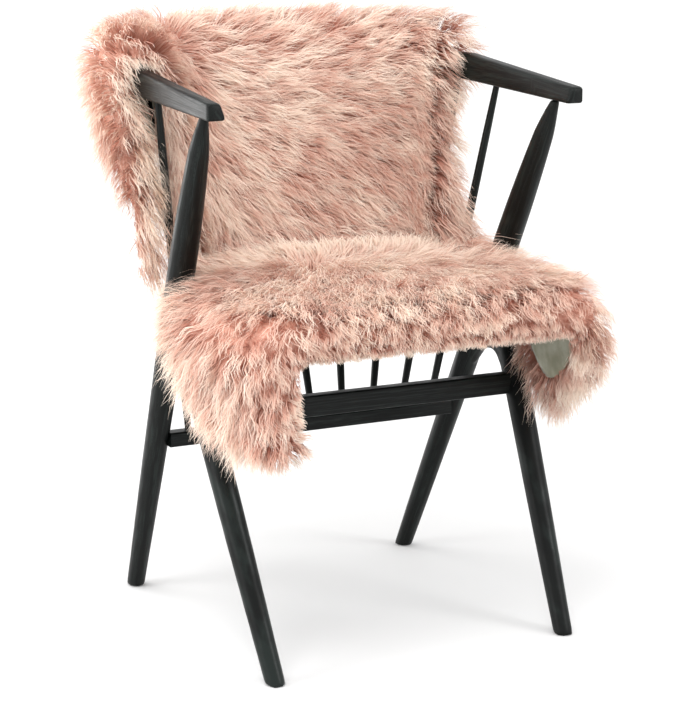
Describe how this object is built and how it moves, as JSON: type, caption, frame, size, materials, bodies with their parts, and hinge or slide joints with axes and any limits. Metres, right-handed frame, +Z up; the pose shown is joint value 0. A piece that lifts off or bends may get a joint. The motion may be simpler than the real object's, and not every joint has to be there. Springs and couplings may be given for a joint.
{
  "type": "sheepskin on a spindle-back chair",
  "caption": "Long-wool sheepskin draped over the back rail and seat of a spindle-back armchair, with leg flaps hanging at the corners.",
  "frame": {"origin": "on the floor under the middle of the whole object's bounding box; the middle of the four feet is at (0.0105, -0.0115, 0)", "axes": "+Z up, the chair faces -Y, +X is the viewer's right when the chair faces the viewer"},
  "size_m": [0.6109, 0.6174, 0.8115],
  "materials": {
    "pink_wool": "long dusty-pink wool with paler tips",
    "black_stained_wood": "black-stained ash, satin"
  },
  "bodies": {
    "root": {"sheepskin": "pink_wool", "seat": "black_stained_wood", "arm_left": "black_stained_wood", "arm_right": "black_stained_wood", "back_rail": "black_stained_wood", "rear_leg_left": "black_stained_wood", "rear_leg_right": "black_stained_wood", "front_leg_left": "black_stained_wood", "front_leg_right": "black_stained_wood", "front_rail": "black_stained_wood", "rear_rail": "black_stained_wood", "spindle_1": "black_stained_wood", "spindle_2": "black_stained_wood", "spindle_3": "black_stained_wood", "spindle_4": "black_stained_wood", "spindle_5": "black_stained_wood", "spindle_6": "black_stained_wood", "spindle_7": "black_stained_wood", "spindle_8": "black_stained_wood", "spindle_9": "black_stained_wood"}
  },
  "joints": []
}
